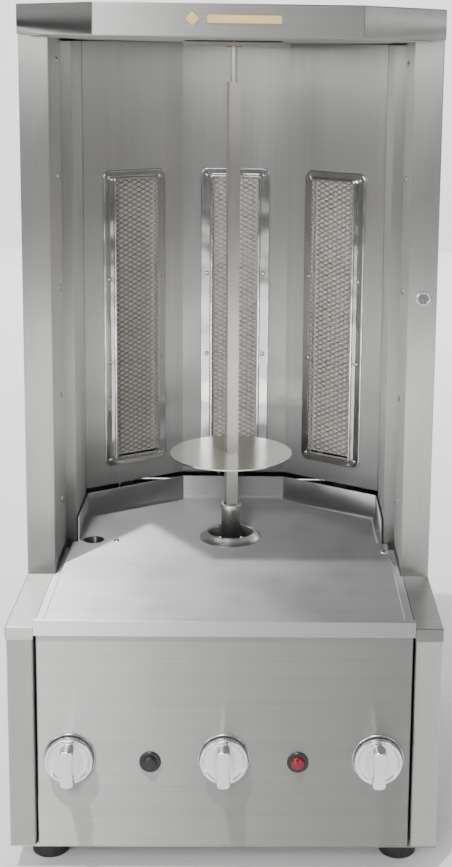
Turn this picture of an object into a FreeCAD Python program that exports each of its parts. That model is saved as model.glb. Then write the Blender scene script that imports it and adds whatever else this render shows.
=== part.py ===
import FreeCAD, Part

import math
import os

from FreeCAD import Vector

# Vertical rotisserie broiler with three gas burners, in millimetres.
# X runs to the right, Y to the back and Z up. The origin is under the middle of the case,
# on the surface that the rubber feet stand on.

# ---- driving dimensions: case -------------------------------------------------------------
SHEET = 1.2
BEND_RADIUS = 2.0
CASE_WIDTH = 480.0
CASE_DEPTH = 540.0
FOOT_HEIGHT = 30.0
BASE_HEIGHT = 261.0
POST_HEIGHT = 635.0
HOOD_HEIGHT = 34.0
GAP = 0.2
BEND_GAP = 1.0

HALF_WIDTH = CASE_WIDTH / 2
FRONT = -CASE_DEPTH / 2
BACK = CASE_DEPTH / 2
BASE_BOTTOM = FOOT_HEIGHT
BASE_TOP = BASE_BOTTOM + BASE_HEIGHT
POST_TOP = BASE_TOP + POST_HEIGHT
HOOD_TOP = POST_TOP + HOOD_HEIGHT

# ---- base box -----------------------------------------------------------------------------
BASE_SIDE_X = HALF_WIDTH - SHEET
PANEL_HALF = 207.0
CHEEK_INNER = 210.5
CAP_INNER = 209.6
CAP_LIP = 15.0
RETURN = 12.0
BACK_FLANGE = 14.0
BACK_PANEL_FACE = BACK - 1.4
FOOT_RADIUS = 24.0
FOOT_X = 200.0
FOOT_Y = (FRONT + 46.0, BACK - 46.0)

# ---- posts, liners and reflectors ------------------------------------------------------------
POST_FACE = FRONT + 155.0
POST_INNER = 206.0
STEP_Y = FRONT + 248.0
WALL_X = 192.5
WALL_END = FRONT + 342.0
CORNER_X = 70.0
REFLECTOR_Y = FRONT + 424.0
REFLECTOR_GAP = 0.4
REFLECTOR_BOTTOM = BASE_TOP + 46.0
LINER_TOP = BASE_TOP + 628.0
LINER_FLANGE_X = POST_INNER + 1.4
LINER_SCREW_Y = FRONT + 215.0
LINER_SCREW_HEIGHTS = (74.0, 205.0, 337.0, 472.0, 607.0)

# ---- tray -----------------------------------------------------------------------------------
TRAY_FLOOR = BASE_TOP + 8.0
TRAY_HALF = 198.0
TRAY_REAR_HALF = 189.5
TRAY_FRONT = FRONT - 2.2
TRAY_LIP_HALF = 209.0
TRAY_LIP_DROP = 18.0
TRAY_STRIP = 6.0
UPSTAND_TOP = BASE_TOP + 40.0
TRAY_SIDE_END = STEP_Y - 2.0
TRAY_DIAGONAL_START = WALL_END - 0.5
TRAY_CORNER_X = CORNER_X - 1.5
TRAY_BACK = REFLECTOR_Y - 3.0
DRAIN = (-172.0, FRONT + 253.0)
DRAIN_RADIUS = 13.0
TRAY_BOLT = (191.5, FRONT + 216.0)
DRAIN_SCREW = (-143.0, FRONT + 250.0)
UPSTAND_BEND = 5.0

# ---- hood and spit top ---------------------------------------------------------------------
HOOD_HALF = HALF_WIDTH + 0.8
HOOD_FLAT = 138.0
HOOD_FRONT = FRONT - 3.0
HOOD_SIDE_START = POST_FACE - 3.0
HOOD_FLANGE = 14.0
CEILING_FRONT = HOOD_FRONT + 15.5
CEILING_DROP = 7.0
BRACKET_BOTTOM = BASE_TOP + 625.0
BRACKET_TOP = BRACKET_BOTTOM + 4.6
BRACKET_HALF = 59.0

# ---- spit and drive ---------------------------------------------------------------------------
SPIT_Y = FRONT + 267.0
SPIT_TURN = 15.0
SPIT_SIDE = 14.0
SPIT_BOTTOM = BASE_TOP + 29.0
SPIT_SHOULDER = BASE_TOP + 582.0
SPIT_PIN_RADIUS = 4.0
SPIT_PIN_TOP = POST_TOP + 5.0
SOCKET_RADIUS = 13.0
SOCKET_BOTTOM = BASE_TOP + 5.0
SOCKET_TOP = BASE_TOP + 53.0
SHAFT_RADIUS = 6.0
SHAFT_BOTTOM = 232.0
SHAFT_TOP = SPIT_BOTTOM - 0.3
PLATE_RADIUS = 76.5
PLATE_THICKNESS = 1.5
PLATE_Z = BASE_TOP + 119.0
RUNNING_FIT = 0.05

# ---- burners -----------------------------------------------------------------------------------
BURNER_Z = BASE_TOP + 268.0
FRAME_WIDTH = 92.0
FRAME_HEIGHT = 394.0
FRAME_RADIUS = 10.0
FRAME_RISE = 3.2
LIP_RISE = 9.0
WINDOW_WIDTH = 61.0
WINDOW_HEIGHT = 370.0
MESH_MARGIN = 2.5
PLAQUE_WIDTH = 67.0
PLAQUE_HEIGHT = 123.4
PLAQUE_COUNT = 3
BODY_WIDTH = 80.0
BODY_HEIGHT = 388.0
BODY_DEPTH = 52.0
MIXER_Y = 32.0
FRAME_SCREWS = [(x, z) for x in (-37.6, 37.6) for z in (-187.5, -55.0, 55.0, 187.5)]

# ---- gas train and front controls --------------------------------------------------------------
KNOB_X = (-171.0, 0.0, 171.0)
KNOB_Z = BASE_TOP - 153.5
BUTTON_X = (-82.0, 82.0)
BUTTON_Z = BASE_TOP - 158.0
STEM_RADIUS = 4.0
PLUG_RADIUS = 7.0
MANIFOLD_Y = FRONT + 26.0
MANIFOLD_Z = KNOB_Z - 25.5
MANIFOLD_RADIUS = 10.0
INLET_X = 196.0
JET_BASE = 246.0
MOTOR_TOP = 262.0
BRIDGE_HALF = 77.0
BRIDGE_SHEET = 2.0
GLAND = (-200.0, 80.0)


# ---- shape helpers --------------------------------------------------------------------------
def box(x, y, z):
    """Block between pairs of lowest and highest X, Y and Z."""
    return Part.makeBox(x[1] - x[0], y[1] - y[0], z[1] - z[0], Vector(x[0], y[0], z[0]))


def rod(start, axis, radius, length):
    return Part.makeCylinder(radius, length, Vector(*start), Vector(*axis))


def prism(outline, z):
    """Upright block with a plan outline of (X, Y) points."""
    points = [Vector(x, y, z[0]) for x, y in outline]
    return Part.Face(Part.makePolygon(points + points[:1])).extrude(Vector(0, 0, z[1] - z[0]))


def mitred(points, distance, closed=False):
    """The line through points moved sideways, to the right of travel, with mitred corners."""
    count = len(points)
    normals = []
    for i in range(count):
        (x1, y1), (x2, y2) = points[i], points[(i + 1) % count]
        length = math.hypot(x2 - x1, y2 - y1)
        normals.append(((y2 - y1) / length, (x1 - x2) / length))
    moved = []
    for i, (x, y) in enumerate(points):
        before = normals[i - 1] if closed or i > 0 else normals[i]
        after = normals[i] if closed or i < count - 1 else normals[i - 1]
        share = distance / (1 + before[0] * after[0] + before[1] * after[1])
        moved.append((x + share * (before[0] + after[0]), y + share * (before[1] + after[1])))
    return moved


def upright_edges(shape, points):
    """The edges of a shape that stand upright on the given plan points."""
    found = []
    for edge in shape.Edges:
        bounds = edge.BoundBox
        if bounds.ZLength > 1 and bounds.XLength + bounds.YLength < 0.001:
            if any(math.hypot(bounds.XMin - x, bounds.YMin - y) < 0.001 for x, y in points):
                found.append(edge)
    return found


def folded_sheet(bends, z, thickness=SHEET):
    """Upright folded sheet: the plan line of its shown face, with its metal to the right of it."""
    behind = mitred(bends, thickness)
    sheet = prism(bends + behind[::-1], z)
    for i in range(1, len(bends) - 1):
        ahead = (bends[i + 1][0] - bends[i][0], bends[i + 1][1] - bends[i][1])
        back = (bends[i][0] - bends[i - 1][0], bends[i][1] - bends[i - 1][1])
        metal_inside = back[0] * ahead[1] - back[1] * ahead[0] < 0
        outer, inner = (bends[i], behind[i]) if metal_inside else (behind[i], bends[i])
        sheet = sheet.makeFillet(BEND_RADIUS, upright_edges(sheet, [outer]))
        sheet = sheet.makeFillet(BEND_RADIUS - thickness, upright_edges(sheet, [inner]))
    return sheet


def mirrored(shape):
    return shape.mirror(Vector(0, 0, 0), Vector(1, 0, 0))


def placed(shape, start, axis):
    """Turn a shape made along +Z so that it stands at start along axis."""
    turn = FreeCAD.Rotation(Vector(0, 0, 1), Vector(*axis))
    moved = shape.copy()
    moved.Placement = FreeCAD.Placement(Vector(*start), turn)
    return moved


def turned(profile, start, axis):
    """Lathe-turned solid from (radius, height) points, standing at start along axis."""
    points = [Vector(radius, 0, height) for radius, height in profile]
    face = Part.Face(Part.makePolygon(points + points[:1]))
    return placed(face.revolve(Vector(0, 0, 0), Vector(0, 0, 1), 360), start, axis)


def rounded_block(width, height, radius, y):
    """Block centred on the Y axis, with its four corners along Y rounded."""
    block = box((-width / 2, width / 2), y, (-height / 2, height / 2))
    corners = [edge for edge in block.Edges if edge.BoundBox.YLength > y[1] - y[0] - 0.01]
    return block.makeFillet(radius, corners)


def round_screw(start, axis, head_radius, head_height, length):
    """Round-head screw: start is the middle of the head's seat and axis points out of the head."""
    ball = (head_radius ** 2 + head_height ** 2) / (2 * head_height)
    sphere = Part.makeSphere(ball, Vector(0, 0, head_height - ball))
    head = sphere.common(Part.makeCylinder(head_radius, head_height))
    slot = box((-head_radius, head_radius), (-0.4, 0.4), (head_height * 0.6, head_height))
    shank = Part.makeCylinder(head_radius / 2, length, Vector(0, 0, -length))
    return placed(head.cut(slot).fuse(shank).removeSplitter(), start, axis)


def tube(route, bend, outer, inner):
    """Pipe along straight runs joined by arcs of the bend radius."""
    points = [Vector(*point) for point in route]
    edges = []
    start = points[0]
    for before, corner, after in zip(points, points[1:], points[2:]):
        arrive = (before - corner).normalize()
        leave = (after - corner).normalize()
        half = arrive.getAngle(leave) / 2
        reach = bend / math.tan(half)
        first, last = corner + arrive * reach, corner + leave * reach
        inward = (arrive + leave).normalize()
        middle = corner + inward * (bend / math.sin(half) - bend)
        edges.append(Part.LineSegment(start, first).toShape())
        edges.append(Part.Arc(first, middle, last).toShape())
        start = last
    edges.append(Part.LineSegment(start, points[-1]).toShape())
    path = Part.Wire(edges)
    ahead = points[1] - points[0]
    solids = []
    for radius in (outer, inner):
        ring = Part.Wire(Part.makeCircle(radius, points[0], ahead))
        solids.append(path.makePipeShell([ring], True, False))
    return solids[0].cut(solids[1])


# ---- base ----------------------------------------------------------------------------------
def base_bottom_plate():
    plate = box((-BASE_SIDE_X, BASE_SIDE_X), (FRONT, BACK), (BASE_BOTTOM, BASE_BOTTOM + SHEET))
    for x in (-FOOT_X, FOOT_X):
        for y in FOOT_Y:
            plate = plate.cut(rod((x, y, BASE_BOTTOM - 1), (0, 0, 1), 3.2, 4))
    for x in range(-120, 121, 40):
        plate = plate.cut(box((x - 4, x + 4), (90, 170), (BASE_BOTTOM - 1, BASE_BOTTOM + 3)))
    return plate


def base_front_panel():
    bends = [(PANEL_HALF, FRONT + RETURN), (PANEL_HALF, FRONT),
             (-PANEL_HALF, FRONT), (-PANEL_HALF, FRONT + RETURN)]
    panel = folded_sheet(bends, (BASE_BOTTOM + SHEET + GAP, BASE_TOP - 2))
    for x in KNOB_X:
        panel = panel.cut(rod((x, FRONT - 5, KNOB_Z), (0, 1, 0), 6.0, 10))
    for x in BUTTON_X:
        panel = panel.cut(rod((x, FRONT - 5, BUTTON_Z), (0, 1, 0), 10.0, 10))
    return panel


def right_base_side():
    bends = [(BASE_SIDE_X - BACK_FLANGE, BACK), (BASE_SIDE_X, BACK), (BASE_SIDE_X, FRONT),
             (CHEEK_INNER, FRONT), (CHEEK_INNER, FRONT + RETURN)]
    return folded_sheet(bends, (BASE_BOTTOM + SHEET + GAP, BASE_TOP - SHEET - GAP))


def right_base_cap():
    z = (BASE_TOP - CAP_LIP, BASE_TOP)
    block = box((CAP_INNER, HALF_WIDTH), (FRONT - SHEET, BACK), z)
    bends = [edge for edge in block.Edges
             if edge.BoundBox.XMin > HALF_WIDTH - 0.1 and edge.BoundBox.YMax < FRONT
             or edge.BoundBox.ZMin > BASE_TOP - 0.1 and edge.BoundBox.XMin > HALF_WIDTH - 0.1
             or edge.BoundBox.ZMin > BASE_TOP - 0.1 and edge.BoundBox.YMax < FRONT]
    block = block.makeFillet(BEND_RADIUS - 0.5, bends)
    inside = box((CAP_INNER - 1, BASE_SIDE_X), (FRONT, BACK + 1), (z[0] - 1, BASE_TOP - SHEET))
    return block.cut(inside)


def slotted(panel, xs, zs, width, height):
    """Cut rows of round-ended vent slots through a back panel."""
    for x in xs:
        for z in zs:
            slot = rounded_block(width, height, height / 2 - 0.01, (BACK - 10, BACK + 10))
            slot.translate(Vector(x, 0, z))
            panel = panel.cut(slot)
    return panel


def base_back_panel():
    half = BASE_SIDE_X - SHEET - BEND_GAP
    panel = box((-half, half), (BACK_PANEL_FACE - SHEET, BACK_PANEL_FACE),
                (BASE_BOTTOM + SHEET + GAP, BASE_TOP - SHEET - GAP))
    panel = slotted(panel, (-70, 0, 70), range(140, 241, 20), 50.0, 6.0)
    panel = panel.cut(rod((INLET_X, BACK - 10, MANIFOLD_Z), (0, 1, 0), 10.3, 20))
    return panel.cut(rod((GLAND[0], BACK - 10, GLAND[1]), (0, 1, 0), 8.3, 20))


def rubber_feet():
    profile = [(6.5, 0), (19.5, 0), (21.0, 1.5), (FOOT_RADIUS, FOOT_HEIGHT - 3), (FOOT_RADIUS, FOOT_HEIGHT),
               (3.2, FOOT_HEIGHT), (3.2, 12), (6.5, 12)]
    return [turned(profile, (x, y, 0), (0, 0, 1)) for x in (-FOOT_X, FOOT_X) for y in FOOT_Y]


# ---- tray -----------------------------------------------------------------------------------
TRAY_REAR = [(-TRAY_HALF, TRAY_SIDE_END), (-TRAY_REAR_HALF, TRAY_SIDE_END),
             (-TRAY_REAR_HALF, TRAY_DIAGONAL_START), (-TRAY_CORNER_X, TRAY_BACK),
             (TRAY_CORNER_X, TRAY_BACK), (TRAY_REAR_HALF, TRAY_DIAGONAL_START),
             (TRAY_REAR_HALF, TRAY_SIDE_END), (TRAY_HALF, TRAY_SIDE_END)]


def drip_tray():
    floor_z = (TRAY_FLOOR - SHEET, TRAY_FLOOR)
    strip_end = TRAY_FRONT + TRAY_STRIP
    floor = prism([(TRAY_HALF, strip_end), (-TRAY_HALF, strip_end)] + TRAY_REAR, floor_z)
    strip = box((-TRAY_LIP_HALF, TRAY_LIP_HALF), (TRAY_FRONT, strip_end), floor_z)
    lip = box((-TRAY_LIP_HALF, TRAY_LIP_HALF), (TRAY_FRONT, TRAY_FRONT + 1.0),
              (TRAY_FLOOR - TRAY_LIP_DROP, TRAY_FLOOR))
    upstand = prism(mitred(TRAY_REAR[1:-1], -SHEET) + TRAY_REAR[-2:0:-1],
                    (TRAY_FLOOR - SHEET, UPSTAND_TOP))
    pieces = [strip, lip, upstand]
    for side in (-1, 1):
        wall = sorted((side * TRAY_HALF, side * (TRAY_HALF - SHEET)))
        ledge = sorted((side * (TRAY_HALF - SHEET), side * TRAY_LIP_HALF))
        pieces.append(box(wall, (strip_end, TRAY_SIDE_END), (BASE_TOP - SHEET, TRAY_FLOOR)))
        pieces.append(box(ledge, (strip_end, TRAY_SIDE_END), (BASE_TOP - SHEET, BASE_TOP)))
    x, y = DRAIN
    pieces.append(rod((x, y, TRAY_FLOOR - 14), (0, 0, 1), DRAIN_RADIUS + SHEET, 14))
    tray = floor.fuse(pieces).removeSplitter()
    bends = [edge for edge in tray.Edges if edge.BoundBox.ZMin > TRAY_FLOOR - 0.01
             and (edge.BoundBox.YMax < TRAY_FRONT + 0.01
                  or edge.BoundBox.YMin < strip_end + 0.01 and edge.BoundBox.YLength > 200)]
    tray = tray.makeFillet(0.9, bends)
    foot = [edge for edge in tray.Edges if abs(edge.BoundBox.ZMin - TRAY_FLOOR) < 0.01
            and edge.BoundBox.ZLength < 0.01 and edge.BoundBox.YMin > TRAY_SIDE_END - 0.01
            and edge.BoundBox.DiagonalLength > 20]
    tray = tray.makeFillet(UPSTAND_BEND, foot)
    tray = tray.cut(rod((x, y, TRAY_FLOOR - 20), (0, 0, 1), DRAIN_RADIUS, 30))
    tray = tray.cut(rod((0, SPIT_Y, TRAY_FLOOR - 5), (0, 0, 1), 30.2, 10))
    tray = tray.cut(rod((*DRAIN_SCREW, TRAY_FLOOR - 5), (0, 0, 1), 2.1, 10))
    return tray.cut(rod((*TRAY_BOLT, TRAY_FLOOR - 5), (0, 0, 1), 2.9, 10))


def tray_collar():
    profile = [(39.25, 0.1), (31.6, 8.6), (30.8, 9.1), (29.6, 9.1), (28.9, 8.5), (28.0, -9),
               (29.2, -9), (30.0, 7.4), (30.6, 7.4), (37.5, 0.1)]
    return turned(profile, (0, SPIT_Y, TRAY_FLOOR), (0, 0, 1))


# ---- housing --------------------------------------------------------------------------------
def liner_screw_holes(shape):
    for height in LINER_SCREW_HEIGHTS:
        shape = shape.cut(rod((POST_INNER - 5, LINER_SCREW_Y, BASE_TOP + height), (1, 0, 0), 2.1, 10))
    return shape


def right_side_shell():
    bends = [(HALF_WIDTH - BACK_FLANGE, BACK), (HALF_WIDTH, BACK), (HALF_WIDTH, POST_FACE),
             (POST_INNER, POST_FACE), (POST_INNER, STEP_Y - BEND_GAP)]
    return liner_screw_holes(folded_sheet(bends, (BASE_TOP, POST_TOP)))


def right_plug_hole(shell):
    return shell.cut(rod((PLUG_X, POST_FACE - 5, PLUG_Z), (0, 1, 0), 5.0, 10))


PLUG_X = 224.0
PLUG_Z = BASE_TOP + 339.0


def post_plug():
    profile = [(0, -5), (4.9, -5), (4.9, 0), (8.8, 0), (8.8, 1.2), (8.0, 2.0), (6.4, 2.0),
               (5.6, 1.0), (2.0, 1.4), (0, 1.6)]
    return turned(profile, (PLUG_X, POST_FACE, PLUG_Z), (0, -1, 0))


def right_side_liner():
    bends = [(LINER_FLANGE_X, STEP_Y - 58), (LINER_FLANGE_X, STEP_Y), (WALL_X, STEP_Y), (WALL_X, WALL_END)]
    return liner_screw_holes(folded_sheet(bends, (BASE_TOP + SHEET, LINER_TOP)))


def liner_screws():
    screws = []
    for height in LINER_SCREW_HEIGHTS:
        screw = round_screw((POST_INNER, LINER_SCREW_Y, BASE_TOP + height), (-1, 0, 0), 4.0, 2.4, 8)
        screws += [screw, mirrored(screw)]
    return screws


def upper_back_panel():
    half = HALF_WIDTH - SHEET - BEND_GAP
    panel = box((-half, half), (BACK_PANEL_FACE - SHEET, BACK_PANEL_FACE), (BASE_TOP + GAP, POST_TOP - GAP))
    return slotted(panel, range(-160, 161, 80), range(760, 881, 20), 56.0, 6.0)


REFLECTOR_TURN = math.degrees(math.atan2(REFLECTOR_Y - WALL_END, WALL_X - CORNER_X))
REFLECTOR_MIDDLE = ((WALL_X + CORNER_X) / 2, (WALL_END + REFLECTOR_Y) / 2)


def at_burner(shape, side):
    """Move a shape from a reflector's own axes to the left (-1), centre (0) or right (1) one.

    In those axes X runs along the reflector, -Y points at the spit and Z is measured from the
    middle of the burner.
    """
    middle = (side * REFLECTOR_MIDDLE[0], REFLECTOR_MIDDLE[1]) if side else (0, REFLECTOR_Y)
    turn = FreeCAD.Rotation(Vector(0, 0, 1), -side * REFLECTOR_TURN)
    moved = shape.copy()
    moved.Placement = FreeCAD.Placement(Vector(*middle, BURNER_Z), turn).multiply(shape.Placement)
    return moved


def reflector_sheet():
    """The one sheet behind the spit, folded along two upright lines, with a flange at each end."""
    turn = math.radians(REFLECTOR_TURN)
    end = (WALL_X - REFLECTOR_GAP * math.cos(turn), WALL_END + REFLECTOR_GAP * math.sin(turn))
    flange = (end[0] + RETURN * math.sin(turn), end[1] + RETURN * math.cos(turn))
    right = [flange, end, (CORNER_X, REFLECTOR_Y)]
    sheet = folded_sheet(right + [(-x, y) for x, y in reversed(right)], (REFLECTOR_BOTTOM, LINER_TOP))
    window = rounded_block(WINDOW_WIDTH + 3, WINDOW_HEIGHT + 2, 3, (-5, 5))
    for side in (-1, 0, 1):
        sheet = sheet.cut(at_burner(window, side))
        for x, z in FRAME_SCREWS:
            sheet = sheet.cut(at_burner(rod((x, -5, z), (0, 1, 0), 1.6, 10), side))
    return sheet


# ---- burners --------------------------------------------------------------------------------
def frame_screw_holes(shape, radius):
    for x, z in FRAME_SCREWS:
        shape = shape.cut(rod((x, -10, z), (0, 1, 0), radius, 25))
    return shape


def burner_frame(side):
    plate = rounded_block(FRAME_WIDTH, FRAME_HEIGHT, FRAME_RADIUS, (-FRAME_RISE, 0))
    rim = [edge for edge in plate.Edges if edge.BoundBox.YMax < -FRAME_RISE + 0.01]
    plate = plate.makeFillet(1.8, rim)
    hollow = rounded_block(FRAME_WIDTH - 2 * SHEET, FRAME_HEIGHT - 2 * SHEET, FRAME_RADIUS - SHEET,
                           (-FRAME_RISE + SHEET, 1))
    lip = rounded_block(WINDOW_WIDTH + 7, WINDOW_HEIGHT + 7, 5, (-LIP_RISE, -FRAME_RISE + SHEET))
    crest = [edge for edge in lip.Edges if edge.BoundBox.YMax < -LIP_RISE + 0.01]
    lip = lip.makeFillet(2.4, crest)
    window = rounded_block(WINDOW_WIDTH, WINDOW_HEIGHT, 2, (-20, 20))
    frame = plate.cut(hollow).fuse(lip).cut(window).removeSplitter()
    return at_burner(frame_screw_holes(frame, 1.6), side)


def burner_frame_screws():
    screws = []
    for side in (-1, 0, 1):
        for x, z in FRAME_SCREWS:
            screws.append(at_burner(round_screw((x, -FRAME_RISE, z), (0, -1, 0), 3.0, 1.6, 8), side))
    return screws


def burner_meshes():
    sheet = box((-WINDOW_WIDTH / 2 - MESH_MARGIN, WINDOW_WIDTH / 2 + MESH_MARGIN), (-1.9, -0.9),
                (-WINDOW_HEIGHT / 2 - MESH_MARGIN, WINDOW_HEIGHT / 2 + MESH_MARGIN))
    return [at_burner(sheet, side) for side in (-1, 0, 1)]


def burner_plaques():
    tiles = []
    top = (WINDOW_HEIGHT + 5) / 2
    for side in (-1, 0, 1):
        for row in range(PLAQUE_COUNT):
            high = top - row * (PLAQUE_HEIGHT + 0.5)
            tile = box((-PLAQUE_WIDTH / 2, PLAQUE_WIDTH / 2), (2.5, 15.5), (high - PLAQUE_HEIGHT, high))
            tiles.append(at_burner(tile, side))
    return tiles


def burner_body(side):
    body = rounded_block(BODY_WIDTH, BODY_HEIGHT, 6, (1.4, BODY_DEPTH))
    body = body.cut(rounded_block(PLAQUE_WIDTH + 1, WINDOW_HEIGHT + 7, 2, (0, 15.6)))
    body = body.cut(rounded_block(WINDOW_WIDTH, WINDOW_HEIGHT, 5, (15, BODY_DEPTH - 3)))
    foot = -BODY_HEIGHT / 2
    mixer = turned([(9, 12), (12, 12), (12, -75), (17, -90), (15, -90), (9, -74)],
                   (0, MIXER_Y, foot), (0, 0, 1))
    body = body.fuse(mixer).cut(rod((0, MIXER_Y, foot - 80), (0, 0, 1), 9, 95))
    body = body.cut(rod((-20, 8, foot - 10), (0, 0, 1), 2.6, 30))
    return at_burner(frame_screw_holes(body.removeSplitter(), 1.6), side)


def spark_electrodes():
    electrodes = []
    foot = -BODY_HEIGHT / 2
    for side in (-1, 0, 1):
        stalk = rod((-20, 8, foot - 32), (0, 0, 1), 2.5, 39)
        wire = rod((-20, 8, foot - 40), (0, 0, 1), 0.75, 49)
        tip = rod((-20, 8.5, foot + 9.3), (0, -1, 0), 0.7, 7.5)
        electrodes.append(at_burner(stalk.fuse([wire, tip]).removeSplitter(), side))
    return electrodes


def jet_point(side):
    """Plan position of a burner's gas jet, under the mouth of its mixing tube."""
    point = at_burner(Part.Vertex(0, MIXER_Y, 0), side).Point
    return point.x, point.y


def gas_jets():
    profile = [(2.9, 0), (7, 0), (7, 12), (4, 15), (4, 22), (1, 22), (1, 10), (2.9, 8)]
    return [turned(profile, (*jet_point(side), JET_BASE + GAP), (0, 0, 1)) for side in (-1, 0, 1)]


# ---- gas train ------------------------------------------------------------------------------
VALVE_FRONT = FRONT + 6.0
VALVE_BACK = FRONT + 44.0
BORE_FRONT = VALVE_FRONT + 5.0
BORE_BACK = VALVE_BACK - 5.0


def gas_supply_pipes():
    pipes = []
    for side, x in zip((-1, 0, 1), KNOB_X):
        jet_x, jet_y = jet_point(side)
        route = [(x, VALVE_BACK + GAP, KNOB_Z)]
        if side:
            route.append((x, 60, KNOB_Z))
        route += [(jet_x, jet_y, KNOB_Z), (jet_x, jet_y, JET_BASE)]
        pipes.append(tube(route, 24, 4, 3))
    return pipes


def gas_manifold():
    route = [(-185, MANIFOLD_Y, MANIFOLD_Z), (INLET_X, MANIFOLD_Y, MANIFOLD_Z), (INLET_X, BACK - 15, MANIFOLD_Z)]
    pipe = tube(route, 22, MANIFOLD_RADIUS, MANIFOLD_RADIUS - 2)
    end_cap = rod((-186.5, MANIFOLD_Y, MANIFOLD_Z), (1, 0, 0), MANIFOLD_RADIUS, 1.5)
    return pipe.fuse(end_cap).removeSplitter()


def gas_valve_bodies():
    bodies = []
    for x in KNOB_X:
        body = rod((x, VALVE_FRONT, KNOB_Z), (0, 1, 0), 13, VALVE_BACK - VALVE_FRONT)
        spigot = rod((x, MANIFOLD_Y, MANIFOLD_Z + MANIFOLD_RADIUS + GAP), (0, 0, 1), 6, 10)
        body = body.fuse(spigot)
        body = body.cut(rod((x, BORE_FRONT, KNOB_Z), (0, 1, 0), PLUG_RADIUS + RUNNING_FIT, BORE_BACK - BORE_FRONT))
        bodies.append(body.cut(rod((x, VALVE_FRONT - 1, KNOB_Z), (0, 1, 0), STEM_RADIUS + RUNNING_FIT, 8)))
    return bodies


def valve_plug(x):
    start = BORE_FRONT + GAP
    plug = rod((x, start, KNOB_Z), (0, 1, 0), PLUG_RADIUS, BORE_BACK - BORE_FRONT - 2 * GAP)
    return plug.cut(rod((x, start - 1, KNOB_Z), (0, 1, 0), STEM_RADIUS + RUNNING_FIT, 20))


def valve_stem(x):
    tail = FRONT + 25.0
    tip = FRONT - 19.0
    return rod((x, tip, KNOB_Z), (0, 1, 0), STEM_RADIUS, tail - tip)


def gas_inlet_fitting():
    profile = [(6, -14), (9.9, -14), (9.9, 0), (15, 0), (15, 9), (13.5, 10), (10.5, 10), (10.5, 29),
               (9.5, 30), (6, 30)]
    fitting = turned(profile, (INLET_X, BACK, MANIFOLD_Z), (0, 1, 0))
    return hexagonal(fitting, (INLET_X, MANIFOLD_Z), 13.5)


def hexagonal(fitting, middle, flat):
    """Trim a turned fitting along Y to a hexagon of the given half width across flats."""
    corner = flat / math.cos(math.pi / 6)
    points = []
    for i in range(7):
        turn = math.radians(60 * i)
        points.append(Vector(middle[0] + corner * math.cos(turn), BACK - 40, middle[1] + corner * math.sin(turn)))
    block = Part.Face(Part.makePolygon(points)).extrude(Vector(0, 100, 0))
    return fitting.common(block)


def cable_gland():
    profile = [(4, -12), (8, -12), (8, -1), (8, 0), (12, 0), (12, 6), (9.5, 7), (9.5, 9), (11, 10),
               (11, 16), (8.5, 20), (4, 20)]
    return turned(profile, (GLAND[0], BACK, GLAND[1]), (0, 1, 0))


# ---- knobs and buttons ----------------------------------------------------------------------
def knob_bezels():
    profile = [(5.5, 0), (29, 0), (29, 1.6), (28.5, 2.4), (27.9, 2.6), (27.3, 1.9), (27.0, 0.7), (5.5, 0.7)]
    return [turned(profile, (x, FRONT, KNOB_Z), (0, -1, 0)) for x in KNOB_X]


def gas_knob(x):
    skirt = turned([(0, 4.0), (26.0, 4.0), (26.5, 4.6), (26.5, 9.6), (25.8, 10.5), (23.6, 10.5),
                    (23.0, 9.0), (21.8, 9.0), (21.2, 10.4), (16.0, 9.0), (9.0, 8.1), (0, 7.8)],
                   (0, 0, 0), (0, -1, 0))
    end, waist, reach, bulge = 9.5, 7.0, 21.0, 23.0
    base = -7.0
    right = Part.Arc(Vector(end, base, reach), Vector(waist, base, 0), Vector(end, base, -reach))
    foot = Part.Arc(Vector(end, base, -reach), Vector(0, base, -bulge), Vector(-end, base, -reach))
    left = Part.Arc(Vector(-end, base, -reach), Vector(-waist, base, 0), Vector(-end, base, reach))
    head = Part.Arc(Vector(-end, base, reach), Vector(0, base, bulge), Vector(end, base, reach))
    outline = Part.Wire([arc.toShape() for arc in (right, foot, left, head)])
    grip = Part.Face(outline).extrude(Vector(0, -23.0, 0))
    crest = [edge for edge in grip.Edges if edge.BoundBox.YMax < -29.9]
    grip = grip.makeFillet(1.6, crest)
    knob = skirt.fuse(grip)
    knob = knob.cut(rod((0, -19.0, 0), (0, 1, 0), STEM_RADIUS, 20))
    knob = knob.cut(box((-0.7, 0.7), (-31, -29.4), (6, 21)))
    knob = knob.removeSplitter()
    knob.translate(Vector(x, FRONT, KNOB_Z))
    return knob


def button_housings():
    profile = [(7.57, 2.6), (7.57, -11), (0, -11), (0, -34), (9.8, -34), (9.8, 0), (12, 0), (12, 1.6),
               (11.2, 2.6)]
    return [turned(profile, (x, FRONT, BUTTON_Z), (0, -1, 0)) for x in BUTTON_X]


def push_button(x):
    profile = [(0, -6), (7.5, -6), (7.5, 3.6), (7.1, 4.6), (5.8, 5.6), (3.4, 6.3), (0, 6.6)]
    return turned(profile, (x, FRONT, BUTTON_Z), (0, -1, 0))


def ignition_module():
    case = box((-150, -90), (-150, -110), (BASE_BOTTOM + SHEET + GAP, 70))
    terminals = [rod((x, -130, 69), (0, 0, 1), 3, 9) for x in (-135, -120, -105)]
    return case.fuse(terminals).removeSplitter()


# ---- hood -----------------------------------------------------------------------------------
HOOD_OUTLINE = [(-HOOD_FLAT, HOOD_FRONT), (-HOOD_HALF, HOOD_SIDE_START), (-HOOD_HALF, BACK + 0.8),
                (HOOD_HALF, BACK + 0.8), (HOOD_HALF, HOOD_SIDE_START), (HOOD_FLAT, HOOD_FRONT)]


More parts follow.
